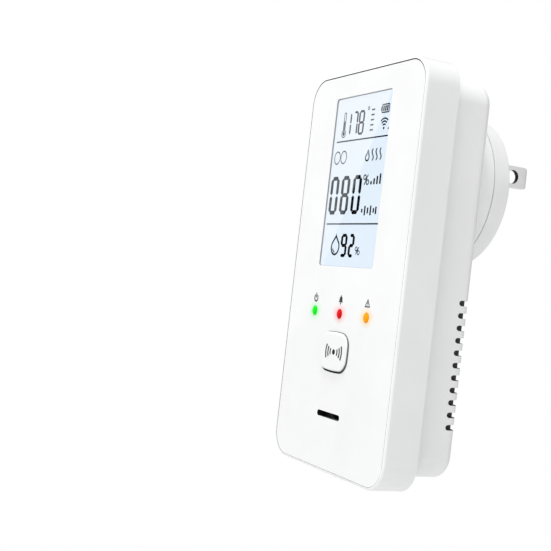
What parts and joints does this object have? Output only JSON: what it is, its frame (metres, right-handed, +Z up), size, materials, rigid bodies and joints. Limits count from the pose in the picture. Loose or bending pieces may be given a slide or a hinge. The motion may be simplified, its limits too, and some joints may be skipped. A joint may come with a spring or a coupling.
{
  "type": "plug-in carbon monoxide detector",
  "caption": "Plug-in carbon monoxide and gas alarm: tall rounded case with a display, indicator lights, test button, sound slot, side vents and a round two-blade wall plug on its back.",
  "frame": {"origin": "centre of the plug disc's flat rear face, which rests on the wall plate", "axes": "+Y into the wall along the plug blades, -Y the way the display faces, +Z up along the case's height, +X to the viewer's right"},
  "size_m": [0.061, 0.054, 0.112],
  "materials": {
    "front_cover": "satin white",
    "rear_cover": "satin white",
    "lcd_window": "polished",
    "lcd_panel": "pale blue lit display",
    "lcd_connector": "matt",
    "lcd_backlight": "diffusing",
    "lcd_frame": "matt",
    "light_pipe_power": "polished",
    "light_pipe_alarm": "polished",
    "light_pipe_fault": "polished",
    "led_power": "glossy",
    "led_alarm": "glossy",
    "led_fault": "glossy",
    "test_button": "satin white",
    "switch_body": "matt",
    "switch_plunger": "matt",
    "buzzer_housing": "matt",
    "piezo_disc": "plain",
    "main_pcb": "solder mask",
    "co_sensor": "plain",
    "gas_sensor_base": "matt",
    "gas_sensor_cap": "fine mesh",
    "humidity_sensor": "matt",
    "wifi_module": "shield can",
    "microcontroller": "matt",
    "backup_battery": "foil pouch",
    "board_link": "matt",
    "power_pcb": "plain board",
    "transformer": "taped",
    "film_capacitor": "dipped",
    "bridge_rectifier": "matt",
    "bulk_capacitor": "sleeved",
    "fuse": "clear tube",
    "plug_cap": "satin white",
    "line_blade": "nickel plated",
    "neutral_blade": "nickel plated",
    "line_lead": "insulated",
    "neutral_lead": "insulated",
    "screw_steel": "zinc plated"
  },
  "bodies": {
    "case": {"front_cover": "front_cover", "rear_cover": "rear_cover", "lcd_window": "lcd_window", "lcd_panel": "lcd_panel", "lcd_connector": "lcd_connector", "lcd_backlight": "lcd_backlight", "lcd_frame": "lcd_frame", "light_pipe_power": "light_pipe_power", "light_pipe_alarm": "light_pipe_alarm", "light_pipe_fault": "light_pipe_fault", "led_power": "led_power", "led_alarm": "led_alarm", "led_fault": "led_fault", "switch_body": "switch_body", "buzzer_housing": "buzzer_housing", "piezo_disc": "piezo_disc", "main_pcb": "main_pcb", "co_sensor": "co_sensor", "gas_sensor_base": "gas_sensor_base", "gas_sensor_cap": "gas_sensor_cap", "humidity_sensor": "humidity_sensor", "wifi_module": "wifi_module", "microcontroller": "microcontroller", "backup_battery": "backup_battery", "board_link": "board_link", "power_pcb": "power_pcb", "transformer": "transformer", "film_capacitor": "film_capacitor", "bridge_rectifier": "bridge_rectifier", "bulk_capacitor": "bulk_capacitor", "fuse": "fuse", "plug_cap": "plug_cap", "line_blade": "line_blade", "neutral_blade": "neutral_blade", "line_lead": "line_lead", "neutral_lead": "neutral_lead", "case_screw_1": "screw_steel", "case_screw_2": "screw_steel", "case_screw_3": "screw_steel", "case_screw_4": "screw_steel", "board_screw_1": "screw_steel", "board_screw_2": "screw_steel", "board_screw_3": "screw_steel", "board_screw_4": "screw_steel"},
    "button": {"test_button": "test_button", "switch_plunger": "switch_plunger"}
  },
  "joints": [
    {"name": "test_press", "type": "slide", "parent": "case", "child": "button", "axis": [0, 1, 0], "range_m": [0, 0.0005], "stiffness_N_per_m": 600, "springref_m": -0.0003}
  ]
}
